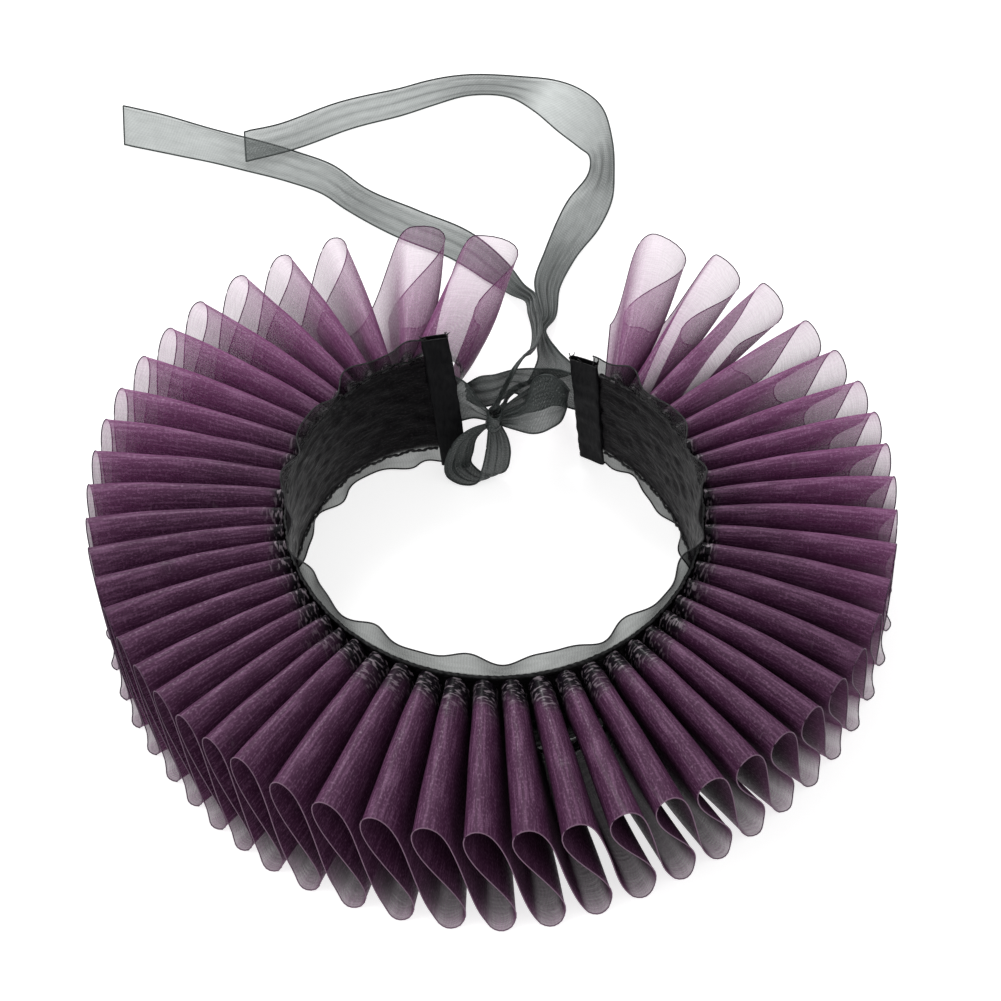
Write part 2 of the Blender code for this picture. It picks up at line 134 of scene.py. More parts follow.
WAVE_COLUMNS = (
    "wave", "band_deg", "rim_deg", "crest_reach", "foot_reach", "crest_height", "spread",
    "open_before", "open_after",
)
WAVES = (
    (-1, -188.0, -200.0, 0.1120, 0.1140, 0.0470, 0.2, 0.0080, -0.0010),
    (0, -160.0, -177.2, 0.1145, 0.1160, 0.0470, 0.5, 0.0080, -0.0010),
    (1, -154.0, -166.5, 0.1205, 0.1200, 0.0484, 0.6, 0.0078, -0.0005),
    (2, -148.0, -153.7, 0.1245, 0.1245, 0.0484, 0.6, 0.0006, -0.0006),
    (3, -142.0, -144.9, 0.1262, 0.1260, 0.0484, 0.5, 0.0012, -0.0006),
    (5, -129.6, -129.3, 0.1283, 0.1268, 0.0484, 0.3, 0.0005, 0.0),
    (8, -110.0, -109.0, 0.1288, 0.1262, 0.0484, 0.1, 0.0, 0.0),
    (12, -84.5, -84.3, 0.1279, 0.1258, 0.0484, 0.0, 0.0, 0.0),
    (17, -56.8, -56.8, 0.1272, 0.1258, 0.0484, 0.0, 0.0, 0.0),
    (21, -36.0, -35.8, 0.1264, 0.1290, 0.0484, 0.0, 0.0, 0.0),
    (23, -22.7, -22.5, 0.1275, 0.1298, 0.0484, 0.0, 0.0, 0.0),
    (26, -2.5, -2.1, 0.1279, 0.1308, 0.0484, 0.0, 0.0, 0.0),
    (29, 17.2, 17.3, 0.1272, 0.1262, 0.0484, 0.0, 0.0, 0.0),
    (32, 36.0, 36.2, 0.1262, 0.1252, 0.0484, 0.0, 0.0, 0.0),
    (36, 59.9, 59.9, 0.1272, 0.1274, 0.0484, 0.0, 0.0, 0.0),
    (40, 85.0, 85.6, 0.1264, 0.1292, 0.0484, 0.0, 0.0, 0.0),
    (44, 109.5, 110.4, 0.1278, 0.1270, 0.0484, 0.1, 0.0015, 0.0),
    (46, 121.9, 124.7, 0.1270, 0.1265, 0.0484, 0.3, 0.0034, -0.0010),
    (47, 128.1, 134.9, 0.1283, 0.1265, 0.0484, 0.5, 0.0056, -0.0020),
    (48, 134.2, 144.0, 0.1286, 0.1260, 0.0484, 0.5, 0.0064, -0.0024),
    (49, 140.2, 153.9, 0.1267, 0.1240, 0.0484, 0.3, 0.0068, 0.0013),
    (50, 146.0, 156.5, 0.1220, 0.1200, 0.0484, 0.0, 0.0060, 0.0010),
)

# Ribbon. Each row is a section: x, y, z of one edge and x, y, z of the other, in millimetres from
# the neck's centre at table height.
RIBBON_WIDTH = 0.0200
RIBBON_EDGE_THREAD = 0.00032
LONG_TAIL = (
    (-140.9, 230.5, 0.6, -138.6, 209.2, 0.6),
    (-124.8, 225.0, 0.6, -118.6, 203.4, 0.6),
    (-93.6, 212.8, 0.6, -94.4, 195.7, 0.6),
    (-74.9, 205.6, 0.6, -78.2, 189.8, 0.6),
    (-60.6, 198.0, 0.8, -64.4, 183.2, 0.6),
    (-47.5, 184.2, 2.0, -54.0, 174.0, 0.6),
    (-28.3, 172.4, 2.4, -36.5, 160.8, 0.6),
    (-7.6, 160.6, 1.4, -15.6, 149.4, 0.6),
    (4.8, 146.0, 1.2, -3.0, 138.6, 0.6),
    (10.4, 132.6, 4.6, 5.6, 129.6, 2.4),
    (14.2, 120.4, 12.4, 11.0, 119.4, 9.4),
    (15.2, 105.2, 21.8, 11.8, 104.8, 18.2),
    (16.2, 88.2, 29.6, 13.2, 87.6, 26.4),
    (13.8, 70.0, 39.0, 11.4, 69.0, 36.2),
    (11.0, 62.4, 43.6, 8.8, 61.0, 42.4),
    (8.0, 57.2, 43.8, 6.0, 56.2, 42.8),
    (5.6, 54.5, 39.8, 3.6, 54.1, 38.6),
    (3.4, 53.2, 34.8, 1.6, 52.8, 34.0),
    (1.8, 51.9, 31.0, -0.2, 51.5, 30.4),
    (0.9, 50.9, 29.2, -1.1, 50.5, 29.2),
)
SHORT_TAIL = (
    (-93.7, 213.2, 3.2, -92.1, 197.4, 3.0),
    (-82.0, 217.0, 3.2, -76.6, 203.4, 2.6),
    (-58.6, 231.8, 1.2, -55.4, 217.2, 0.6),
    (-37.1, 239.6, 1.0, -34.2, 225.4, 0.6),
    (-26.0, 243.8, 1.2, -23.4, 230.6, 0.6),
    (-9.0, 246.4, 2.0, -8.4, 236.4, 0.6),
    (9.4, 246.2, 1.4, 6.4, 235.0, 0.6),
    (23.0, 245.0, 0.8, 15.2, 227.4, 0.6),
    (33.6, 239.0, 0.6, 24.0, 215.8, 1.2),
    (41.4, 228.4, 0.6, 31.6, 205.0, 3.2),
    (44.4, 211.0, 0.8, 35.6, 197.4, 5.2),
    (44.6, 194.0, 0.8, 34.6, 188.2, 4.6),
    (43.4, 179.4, 0.6, 27.8, 178.6, 2.2),
    (38.6, 165.4, 0.6, 23.2, 168.2, 1.0),
    (29.4, 149.4, 0.8, 18.4, 152.4, 1.0),
    (23.6, 134.4, 1.2, 14.6, 135.6, 2.6),
    (21.4, 117.6, 2.4, 16.6, 117.0, 4.6),
    (18.4, 109.0, 6.6, 15.4, 110.2, 7.6),
    (18.8, 99.7, 12.0, 15.6, 100.6, 12.6),
    (22.2, 87.2, 18.0, 15.0, 89.4, 17.6),
    (26.6, 71.9, 24.0, 14.4, 77.0, 22.6),
    (20.0, 66.8, 26.6, 11.6, 69.6, 22.6),
    (11.6, 64.8, 27.6, 7.6, 64.6, 23.4),
    (5.4, 61.4, 27.2, 4.6, 61.0, 23.2),
    (3.2, 56.8, 25.6, 2.8, 56.6, 22.8),
    (1.2, 55.1, 25.0, 1.0, 55.0, 22.8),
)
LEFT_TIE = (
    (-13.8, 57.4, 38.4, -12.0, 54.0, 19.6),
    (-8.6, 56.0, 35.4, -7.6, 53.8, 21.2),
    (-5.4, 54.0, 31.0, -5.4, 53.2, 21.8),
    (-1.6, 51.9, 26.4, -1.6, 51.5, 23.0),
)
RIGHT_TIE = (
    (27.6, 57.8, 37.8, 28.2, 57.4, 21.2),
    (21.0, 61.0, 37.6, 21.2, 60.2, 20.8),
    (13.6, 60.6, 38.6, 13.6, 59.6, 20.8),
    (6.0, 57.8, 40.6, 6.0, 57.2, 30.4),
    (0.0, 55.8, 40.4, 0.0, 55.2, 27.0),
    (-4.6, 57.2, 38.0, -4.6, 56.2, 24.6),
    (-9.6, 59.4, 31.6, -9.4, 58.8, 25.0),
)
BOW_LOOP = (
    (1.4, 50.4, 26.6, 1.4, 50.0, 22.8),
    (10.9, 54.0, 30.2, 6.6, 46.4, 24.2),
    (12.9, 57.0, 36.2, 12.6, 45.4, 23.2),
    (18.4, 57.2, 38.8, 18.6, 46.6, 24.4),
    (23.4, 55.8, 35.6, 22.9, 50.0, 26.0),
    (25.0, 56.0, 32.4, 24.2, 53.4, 28.4),
    (22.4, 58.4, 34.6, 22.0, 56.2, 26.4),
    (16.0, 58.6, 34.2, 15.8, 56.4, 22.8),
    (9.4, 56.8, 30.6, 9.2, 55.0, 22.4),
    (1.4, 52.4, 26.4, 1.4, 52.0, 23.0),
)
HANGING_LOOP = (
    (1.9, 50.6, 22.2, -1.7, 49.0, 22.2),
    (4.6, 48.8, 16.6, -2.4, 45.6, 15.6),
    (5.4, 47.2, 9.4, -4.0, 42.8, 7.8),
    (3.4, 46.2, 2.6, -6.2, 42.2, 1.4),
    (-3.4, 47.0, 0.7, -11.6, 42.6, 0.7),
    (-7.6, 49.6, 3.0, -15.8, 43.6, 3.4),
    (-7.0, 49.8, 9.6, -15.8, 44.6, 11.8),
    (-5.6, 50.4, 15.6, -12.0, 46.2, 20.0),
    (-3.4, 50.4, 19.6, -6.6, 48.0, 23.2),
    (-1.8, 50.4, 21.4, -1.8, 48.8, 24.4),
)
KNOT_AT = np.array([0.0, 0.0508, 0.0246])
KNOT_HALF = (0.0029, 0.0042, 0.0039)


# ---- meshes


def ring_point(radius, azimuth, height):
    turn = np.radians(azimuth)
    return np.stack(np.broadcast_arrays(radius * np.sin(turn), -radius * np.cos(turn), height), axis=-1)


def band_radius(azimuth):
    turn = np.radians(azimuth)
    return BAND_RADIUS + BAND_FORWARD * np.cos(turn) + BAND_OVAL * np.cos(2.0 * turn)


def on_band(azimuth, height, outwards):
    """Points on the band's middle surface, moved outwards, with its ends tipped and slanted."""
    left = np.clip(1.0 - (azimuth - BAND_FROM) / END_REACH, 0.0, END_PAST)
    right = np.clip(1.0 - (BAND_TO - azimuth) / END_REACH, 0.0, END_PAST)
    tilt = (height - BAND_FOOT) / (BAND_TOP - BAND_FOOT) - 0.5
    left_move = left * (LEFT_TIP * tilt - LEFT_CURL * left)
    right_move = right * (RIGHT_TIP * tilt - RIGHT_CURL * right)
    radius = band_radius(azimuth) + outwards + left_move + right_move
    slanted = azimuth + left * LEFT_SLANT * tilt + right * RIGHT_SLANT * tilt
    return ring_point(radius, slanted, height)


def smooth_noise(shape, cells, seed):
    """Values from -1 to 1 over a grid, smooth, with a given number of cells each way."""
    made = np.random.default_rng(seed).uniform(-1.0, 1.0, (cells[0] + 2, cells[1] + 2))

    def spread(count, cell):
        at = np.linspace(0.0, cell, count)
        low = np.minimum(at.astype(int), cell - 1)
        part = at - low
        return low, part * part * (3.0 - 2.0 * part)

    i, s = spread(shape[0], cells[0])
    j, t = spread(shape[1], cells[1])
    s, t = s[:, None], t[None, :]
    low = made[np.ix_(i, j)] * (1.0 - t) + made[np.ix_(i, j + 1)] * t
    high = made[np.ix_(i + 1, j)] * (1.0 - t) + made[np.ix_(i + 1, j + 1)] * t
    return low * (1.0 - s) + high * s


def normals_of(grid):
    normals = np.cross(np.gradient(grid, axis=0), np.gradient(grid, axis=1))
    return normals / np.maximum(np.linalg.norm(normals, axis=2, keepdims=True), 1e-12)


def lengths_along(grid, axis):
    steps = np.linalg.norm(np.diff(grid, axis=axis), axis=2)
    first = np.zeros_like(np.take(steps, [0], axis=axis))
    return np.cumsum(np.concatenate([first, steps], axis=axis), axis=axis)


def add_object(name, points, faces, finish, values=None):
    mesh = bpy.data.meshes.new(name)
    mesh.from_pydata([tuple(point) for point in points], [], faces)
    mesh.update()
    mesh.shade_smooth()
    for key, value in (values or {}).items():
        kind = "FLOAT_VECTOR" if value.ndim == 2 else "FLOAT"
        layer = mesh.attributes.new(key, kind, "POINT")
        layer.data.foreach_set("vector" if value.ndim == 2 else "value", value.ravel().astype(np.float32))
    mesh.materials.append(finish)
    obj = bpy.data.objects.new(name, mesh)
    bpy.context.scene.collection.objects.link(obj)
    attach(obj, "root")
    return obj


def grid_faces(rows, columns):
    found = []
    for i in range(rows - 1):
        for j in range(columns - 1):
            a = i * columns + j
            found.append((a, a + 1, a + columns + 1, a + columns))
    return found


def add_cloth(name, grid, finish, density=1.0, **values):
    """A single layer of cloth through a grid. Its attribute cloth holds the place on the flat cut, in mm."""
    rows, columns = grid.shape[:2]
    along = np.broadcast_to(lengths_along(grid, 0).mean(axis=1)[:, None], (rows, columns))
    across = np.broadcast_to(lengths_along(grid, 1).mean(axis=0)[None, :], (rows, columns))
    place = np.stack([along, across, np.zeros_like(along)], axis=-1) * 1000.0
    held = {"cloth": place.reshape(-1, 3), "layers": np.broadcast_to(density, (rows, columns)).reshape(-1)}
    for key, value in values.items():
        held[key] = np.broadcast_to(value, (rows, columns)).reshape(-1)
    return add_object(name, (grid + NECK).reshape(-1, 3), grid_faces(rows, columns), finish, held)


def add_thread(name, lines, radius, finish, sides=5, bead=0.0, beads=1):
    """One mesh of round threads, each along its own line of points. Beads swell it every few points."""
    points, faces = [], []
    for line in lines:
        line = np.asarray(line)
        thick = radius * (1.0 + bead * np.sin(2.0 * math.pi * np.arange(len(line)) / beads))
        ahead = np.gradient(line, axis=0)
        ahead /= np.maximum(np.linalg.norm(ahead, axis=1, keepdims=True), 1e-12)
        helper = np.where(np.abs(ahead[:, 2:3]) > 0.9, [[1.0, 0.0, 0.0]], [[0.0, 0.0, 1.0]])
        one = np.cross(ahead, helper)
        one /= np.linalg.norm(one, axis=1, keepdims=True)
        other = np.cross(ahead, one)
        first = len(points)
        for k in range(len(line)):
            for s in range(sides):
                turn = 2.0 * math.pi * s / sides
                spoke = math.cos(turn) * one[k] + math.sin(turn) * other[k]
                points.append(line[k] + thick[k] * spoke + NECK)
        for k in range(len(line) - 1):
            for s in range(sides):
                a, b = first + k * sides + s, first + k * sides + (s + 1) % sides
                faces.append((a, b, b + sides, a + sides))
        faces.append(tuple(first + s for s in reversed(range(sides))))
        faces.append(tuple(first + (len(line) - 1) * sides + s for s in range(sides)))
    return add_object(name, points, faces, finish)


# ---- finishes


class Reading:
    """A value in a finish. Arithmetic on it adds Math nodes."""

    def __init__(self, finish, socket):
        self.finish = finish
        self.socket = socket

    def math(self, operation, *others):
        inputs = {i: value for i, value in enumerate((self, *others))}
        return self.finish.read("ShaderNodeMath", 0, {"operation": operation}, inputs)

    def __add__(self, other):
        return self.math("ADD", other)

    def __mul__(self, other):
        return self.math("MULTIPLY", other)

    def __sub__(self, other):
        return self.math("SUBTRACT", other)

    def __rsub__(self, other):
        return (self * -1.0) + other

    def __truediv__(self, other):
        return self.math("DIVIDE", other)

    def __pow__(self, other):
        return self.math("POWER", other)

    __radd__ = __add__
    __rmul__ = __mul__

    def sin(self):
        return self.math("SINE")

    def within(self, low=0.0, high=1.0):
        return self.math("MAXIMUM", low).math("MINIMUM", high)


class Finish:
    """A material whose Principled BSDF is fed by readings."""

    def __init__(self, name, **constants):
        self.material = bpy.data.materials.new(name)
        self.material.use_nodes = True
        self.tree = self.material.node_tree
        self.shader = self.tree.nodes["Principled BSDF"]
        self.output = self.tree.nodes["Material Output"]
        for key, value in constants.items():
            self.shader.inputs[key.replace("_", " ")].default_value = value

    def node(self, kind, settings=None, inputs=None):
        made = self.tree.nodes.new(kind)
        for key, value in (settings or {}).items():
            setattr(made, key, value)
        for key, value in (inputs or {}).items():
            self.feed(made.inputs[key], value)
        return made

    def read(self, kind, output=0, settings=None, inputs=None):
        return Reading(self, self.node(kind, settings, inputs).outputs[output])

    def feed(self, socket, value):
        if isinstance(value, Reading):
            self.tree.links.new(value.socket, socket)
        else:
            socket.default_value = value

    def set(self, name, value):
        self.feed(self.shader.inputs[name], value)

    def attribute(self, name, output="Fac"):
        return self.read("ShaderNodeAttribute", output, {"attribute_name": name})

    def place(self):
        """The place on the flat cut in mm: the vector, along and across."""
        vector = self.attribute("cloth", "Vector")
        apart = self.node("ShaderNodeSeparateXYZ", None, {0: vector})
        return vector, Reading(self, apart.outputs[0]), Reading(self, apart.outputs[1])

    def noise(self, vector, scale, stretch=(1.0, 1.0, 1.0), detail=2.0, flat=True):
        put = self.read("ShaderNodeVectorMath", 0, {"operation": "MULTIPLY"}, {0: vector, 1: stretch})
        return self.read(
            "ShaderNodeTexNoise", 0, {"noise_dimensions": "2D" if flat else "3D"},
            {"Vector": put, "Scale": scale, "Detail": detail})

    def blend(self, share, first, second):
        mix = self.node("ShaderNodeMix", {"data_type": "RGBA"}, {0: share})
        self.feed(mix.inputs[6], first if isinstance(first, Reading) else (*first, 1.0))
        self.feed(mix.inputs[7], second if isinstance(second, Reading) else (*second, 1.0))
        return Reading(self, mix.outputs[2])

    def bump(self, height, strength, distance):
        self.set("Normal", self.read("ShaderNodeBump", 0, None, {
            "Strength": strength, "Distance": distance, "Height": height,
        }))

    def see_through(self, cover, tint):
        """Lets light of the colour tint through where cover is below 1."""
        clear = self.node("ShaderNodeBsdfTransparent", None, {"Color": (*tint, 1.0)})
        mix = self.node("ShaderNodeMixShader", None, {0: cover})
        self.tree.links.new(clear.outputs[0], mix.inputs[1])
        self.tree.links.new(self.shader.outputs[0], mix.inputs[2])
        self.tree.links.new(mix.outputs[0], self.output.inputs["Surface"])


def sheer_cover(finish, through, grain, thick_at_edge):
    """How much a layer hides: more where it is dense, on its threads, and where it is seen aslant."""
    facing = finish.read("ShaderNodeLayerWeight", "Facing", None, {"Blend": 0.5})
    path = finish.attribute("layers") * grain / (1.0 - facing * thick_at_edge)
    return 1.0 - (path * math.log(through)).math("EXPONENT")


def ruff_finish():
    finish = Finish("ruff_organza", Specular_IOR_Level=0.20)
    vector, along, across = finish.place()
    drift = finish.noise(vector, 0.12, detail=0.0)
    warp = ((along + drift * 5.0) * (2.0 * math.pi / 0.95)).sin()
    weft = ((across + drift * 5.0) * (2.0 * math.pi / 0.95)).sin()
    cross = finish.noise(vector, 1.0, (0.18, 1.6, 1.0), 0.0)
    glint = finish.noise(vector, 2.2, (1.0, 0.45, 1.0), 0.0)
    # Painted sheen: pale streaks stretched along the waves.
    sheen_streak = finish.noise(vector, 1.0, (1.3, 0.10, 1.0), 0.0)
    crush = finish.noise(vector, 1.0, (0.30, 1.1, 1.0), 1.0)
    grain = 1.0 + warp * 0.04 + weft * 0.06 + (cross - 0.5) * 0.25
    near = (finish.attribute("near_seam") * 1.4 - (drift - 0.5) * 0.9 - 0.25).within()
    thin = ((3.3 - finish.attribute("layers")) * 0.5).within()
    # Painted highlight along each crest, stronger where the painted sheen streaks are.
    ridge = finish.attribute("ridge") * (0.06 + sheen_streak * 0.4)
    # Painted highlight on the weave's crossings, where the sheen streaks are.
    woven_highlight = (warp * 0.5 + 0.5) * (weft * 0.5 + 0.5) * ((sheen_streak - 0.42) * 2.0).within()
    # Painted highlights: glints, sheen streaks, the crest line and the weave lift the colour toward its lit
    # copy.
    lit = ((glint - 0.58) * 4.0).within() * 0.8 + ((sheen_streak - 0.50) * 1.6).within(0.0, 0.4)
    lit = lit + ridge + woven_highlight * 0.8
    shaded = finish.blend(thin, (0.045, 0.010, 0.036), (0.155, 0.035, 0.120))
    shining = finish.blend(thin, (0.140, 0.062, 0.122), (0.30, 0.13, 0.26))
    purple = finish.blend((lit * 0.8).within(), shaded, shining)
    # Near the seam: near-black, with painted silver glints on the crinkles.
    dark_crinkles_with_glints = finish.blend(((crush - 0.54) * 7.0).within(), (0.006, 0.004, 0.007), (0.20, 0.165, 0.19))
    finish.set("Base Color", finish.blend((near * 1.3).within(), purple, dark_crinkles_with_glints))
    finish.set("Roughness", (0.55 - (glint - 0.5) * 0.5 - near * 0.22).within(0.2, 0.8))
    finish.see_through(sheer_cover(finish, 0.60, grain, 0.92), (0.915, 0.90, 0.91))
    return finish.material


def edge_finish(name, colour, light, at_front=0.0):
    """Thread, darker and lighter by its fibres. With at_front it grows lighter toward the closed front."""
    finish = Finish(name, Specular_IOR_Level=0.15)
    where = finish.read("ShaderNodeTexCoord", "Object")
    apart = finish.node("ShaderNodeSeparateXYZ", None, {0: where})
    front = (-0.10 - Reading(finish, apart.outputs[1])) * 14.0
    fibre = finish.noise(where, 900.0, detail=0.0, flat=False)
    share = (fibre * 1.6 - 0.3) * (1.0 - at_front) + front.within() * at_front
    finish.set("Base Color", finish.blend(share.within(), colour, light))
    finish.set("Roughness", (0.6 + (fibre - 0.5) * 0.3).within())
    return finish.material


def band_finish():
    finish = Finish("band_organza", Specular_IOR_Level=0.05)
    vector, along, across = finish.place()
    crush = finish.noise(vector, 1.0, (0.20, 0.60, 1.0), 2.0)
    threads = ((along + crush * 1.2) * (2.0 * math.pi / 0.9)).sin()
    glint = finish.noise(vector, 1.5, (0.7, 1.0, 1.0), 1.0)
    grain = 1.0 + threads * 0.05 + (crush - 0.5) * 0.3
    finish.set("Base Color", finish.blend(
        ((glint - 0.60) * 5.0).within(), (0.0015, 0.0010, 0.0018), (0.016, 0.013, 0.016)))
    finish.set("Roughness", (0.42 - (crush - 0.5) * 0.5).within(0.15, 0.8))
    finish.bump(crush * 2.0 + glint * 0.5, 0.22, 0.0008)
    finish.see_through(sheer_cover(finish, 0.42, grain, 0.75), (0.93, 0.96, 0.94))
    return finish.material


def ribbon_finish():
    finish = Finish("ribbon_organza", Specular_IOR_Level=0.4)
    vector, along, across = finish.place()
    drift = finish.noise(vector, 0.06, detail=0.0)
    warp = ((across + drift * 2.0) * (2.0 * math.pi / 0.9)).sin()
    weft = ((along + across * 0.8 + drift * 4.0) * (2.0 * math.pi / 1.15)).sin()
    soft = finish.noise(vector, 0.35, (0.5, 1.6, 1.0), 2.0)
    glint = finish.noise(vector, 2.4, detail=1.0)
    grain = 1.0 + warp * 0.03 + weft * 0.07 + (soft - 0.5) * 0.35
    finish.set("Base Color", finish.blend(
        ((glint - 0.62) * 6.0).within(), (0.028, 0.034, 0.033), (0.14, 0.155, 0.15)))
    finish.set("Roughness", (0.45 - (glint - 0.5) * 0.4).within(0.2, 0.8))
    finish.bump(warp * 0.4 + weft * 0.4 + soft * 1.0, 0.35, 0.0004)
    finish.see_through(sheer_cover(finish, 0.55, grain, 0.75), (0.93, 0.96, 0.95))
    return finish.material


def binding_finish():
    finish = Finish("end_binding", Specular_IOR_Level=0.05)
    where = finish.read("ShaderNodeTexCoord", "Object")
    rib = finish.noise(where, 1.0, (900.0, 900.0, 260.0), 2.0, flat=False)
    crease = finish.noise(where, 90.0, detail=3.0, flat=False)
    finish.set("Base Color", finish.blend(
        (rib * 1.5 - 0.25).within(), (0.003, 0.003, 0.004), (0.012, 0.012, 0.013)))
    finish.set("Roughness", (0.55 + (crease - 0.5) * 0.4).within())
    finish.bump(rib * 0.6 + crease * 1.4, 0.6, 0.0006)
    return finish.material


def floor_finish():
    finish = Finish(
        "pale_floor", Roughness=0.9, Specular_IOR_Level=0.0, Emission_Color=(1.0, 1.0, 1.0, 1.0),
        Emission_Strength=0.72)
    where = finish.read("ShaderNodeTexCoord", "Object")
    faint = finish.noise(where, 3.0)
    finish.set("Base Color", finish.blend(faint, (0.54, 0.54, 0.54), (0.56, 0.56, 0.56)))
    finish.material.cycles.emission_sampling = "NONE"
    return finish.material


RUFF = ruff_finish()
BAND = band_finish()
RIBBON = ribbon_finish()
BINDING = binding_finish()
SELVEDGE = edge_finish("ruff_selvedge", (0.035, 0.015, 0.035), (0.17, 0.10, 0.15), at_front=0.8)
BLACK_THREAD = edge_finish("black_thread", (0.006, 0.006, 0.007), (0.035, 0.035, 0.036))
RIBBON_EDGE = edge_finish("ribbon_selvedge", (0.020, 0.024, 0.024), (0.060, 0.068, 0.066))


# ---- ruff


def ruff_rows(along, shares):
    """The strip's points: one row for each share of the way from the band to the rim."""
    table = np.array(WAVES)
    phase = 2.0 * math.pi * along

    def column(name, at):
        return np.interp(at, table[:, 0], table[:, WAVE_COLUMNS.index(name)])

    rise = (1.0 + np.cos(phase)) / 2.0
    rise = np.clip((rise - FLAT_SHARE) / (1.0 - FLAT_SHARE), 0.0, 1.0)
    lean = LEAN_SHIFT - LEAN * np.cos(phase) + LEAN_SHARP * np.cos(3.0 * phase)
    side = lean + BULGE * np.sin(2.0 * phase)
    wave = along - column("spread", along) * np.sin(phase) / (2.0 * math.pi)

    stand = BAND_WALL / 2.0 + SEAM_GAP
    band_deg = column("band_deg", along)
    band_reach = band_radius(band_deg) + stand
    pitch = np.radians(column("band_deg", along + 0.5) - column("band_deg", along - 0.5)) * band_reach
    gather = np.maximum(0.375 * pitch - GATHER_GAP / 2.0, 0.0)
    band_deg = band_deg + np.degrees((lean * BAND_SHARE + gather * np.sin(2.0 * phase)) / band_reach)
    at_band = on_band(band_deg, LOW_SEAM + (TOP_SEAM - LOW_SEAM) * rise, stand)

    foot, crest = column("foot_reach", wave), column("crest_reach", wave)
    reach = foot + (crest - foot) * rise
    off_foot = np.cos(math.pi * along) ** 2
    reach = reach + FOOT_ROUND * (np.exp(-off_foot / 0.05) - 0.6 * np.exp(-off_foot / 0.30))
    before = column("open_before", along) * np.clip(-np.sin(phase), 0.0, 1.0)
    after = column("open_after", along) * np.clip(np.sin(phase), 0.0, 1.0)
    belly = (after - before) * rise**BELLY_POWER / BELLY_PEAK
    rim_deg = column("rim_deg", wave) + np.degrees(side / reach)
    crest_height = column("crest_height", along) - CREST_DROP
    at_rim = ring_point(reach, rim_deg, RUFF_REST + (crest_height - RUFF_REST) * rise)
    turn = np.radians(rim_deg)
    sideways = np.stack([np.cos(turn), np.sin(turn), np.zeros_like(turn)], axis=-1)

    rows = []
    for share in shares:
        row = at_band + (at_rim - at_band) * share
        row += sideways * belly[:, None] * (1.0 - (1.0 - share) ** 3)
        ridge = LOW_SEAM * (1.0 - share) * (1.0 - rise) * min(1.0, share / 0.45)
        row[:, 2] += RIDGE_BOW * 4.0 * share * (1.0 - share) * rise - ridge
        rows.append(row)
    return np.stack(rows, axis=1), rise


def make_ruff():
    count = int(round((RUFF_END - RUFF_START) * RUFF_STEPS))
    along = np.linspace(RUFF_START, RUFF_END, count + 1)
    shares = np.linspace(0.0, 1.0, RUFF_ROWS)
    grid, rise = ruff_rows(along, shares)
    share = shares[None, :]
    crumple = smooth_noise(grid.shape[:2], (count // 5, 4), 3) * CRUMPLE
    crumple += smooth_noise(grid.shape[:2], (count // 3, 3), 5) * FINE_CRUMPLE
    crumple = crumple * np.minimum(1.0, share * 4.0)
    out = lengths_along(grid, 1)
    pucker = np.sin(2.0 * math.pi * PUCKERS * along)[:, None]
    pucker = pucker + smooth_noise(grid.shape[:2], (count // 4, 5), 8)
    fade = np.exp(-out / PUCKER_REACH)
    crumple = crumple + PUCKER_DEEP * pucker * fade * np.minimum(1.0, share * 12.0)
    grid = grid + normals_of(grid) * crumple[:, :, None]
    grid[:, :, 2] = np.maximum(grid[:, :, 2], 0.0003)
    azimuth = np.degrees(np.arctan2(grid[:, :, 0], -grid[:, :, 1]))
    front = 0.5 + 0.5 * np.cos(np.radians(azimuth))
    low = 1.0 - rise[:, None]
    leftward = (-np.sin(np.radians(azimuth))).clip(0.0, 1.0)
    # More layers toward the front and front left: partly packed cloth, partly painted shade that darkens the
    # front.
    packed_and_painted_shade = (LAYERS_FRONT * front**2 + LAYERS_LEFT * leftward * front) * (1.0 - FOOT_THIN * low * share**4)
    density = LAYERS_TIP + packed_and_painted_shade + LAYERS_SEAM * (1.0 - share) ** 2
    near_seam = (1.0 - out / (CRINKLE_BACK + CRINKLE_FRONT * front**3)).clip(0.0, 1.0)
    # Painted highlight line along each crest.
    ridge = np.exp(-((np.sin(math.pi * along) / RIDGE_NARROW) ** 2))[:, None]
    ruff = add_cloth("ruff_waves", grid, RUFF, density, near_seam=near_seam, ridge=ridge)
    rim = add_thread("ruff_rim_edge", [grid[:, -1]], RIM_THREAD, SELVEDGE)
    cut_ends = add_thread("ruff_cut_ends", [grid[0], grid[-1]], CUT_THREAD, SELVEDGE)
    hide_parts(*RUFF_NODES)
    return ruff


# ---- neckband


def band_grid(columns, levels):
    azimuth = np.linspace(BAND_FROM - TUCKED_IN, BAND_TO + TUCKED_IN, columns)[:, None]
    level = np.array(levels)[None, :]
    height = BAND_FOOT + (BAND_TOP - BAND_FOOT) * level
    below = np.clip((LOW_SEAM - height) / (LOW_SEAM - BAND_FOOT), 0.0, 1.0)
    above = np.clip((height - TOP_SEAM) / (BAND_TOP - TOP_SEAM), 0.0, 1.0)
    turn = np.radians(azimuth)
    minor = FREE_EDGE_MINOR_SHARE
    at_top = np.sin(FREE_EDGE_COUNT * turn + TOP_PHASE)
    at_top += minor * np.sin(FREE_EDGE_MINOR * turn + TOP_MINOR_PHASE)
    at_foot = np.sin(FREE_EDGE_COUNT * turn + FOOT_PHASE) + minor * np.sin(FREE_EDGE_MINOR * turn)
    ends = np.clip(np.minimum(azimuth - BAND_FROM, BAND_TO - azimuth) / FREE_EDGE_FADE, 0.0, 1.0)
    wave = FREE_EDGE_WAVE * ends * (above * at_top + below * at_foot)
    lift = FREE_EDGE_LIFT * ends * above * np.cos(FREE_EDGE_COUNT * turn + LIFT_PHASE)
    grid = on_band(azimuth, height, wave)
    grid[:, :, 2] += lift
    middle = np.clip(np.minimum(height - LOW_SEAM, TOP_SEAM - height) / 0.003, 0.0, 1.0)
    return grid, np.broadcast_to(middle, grid.shape[:2])


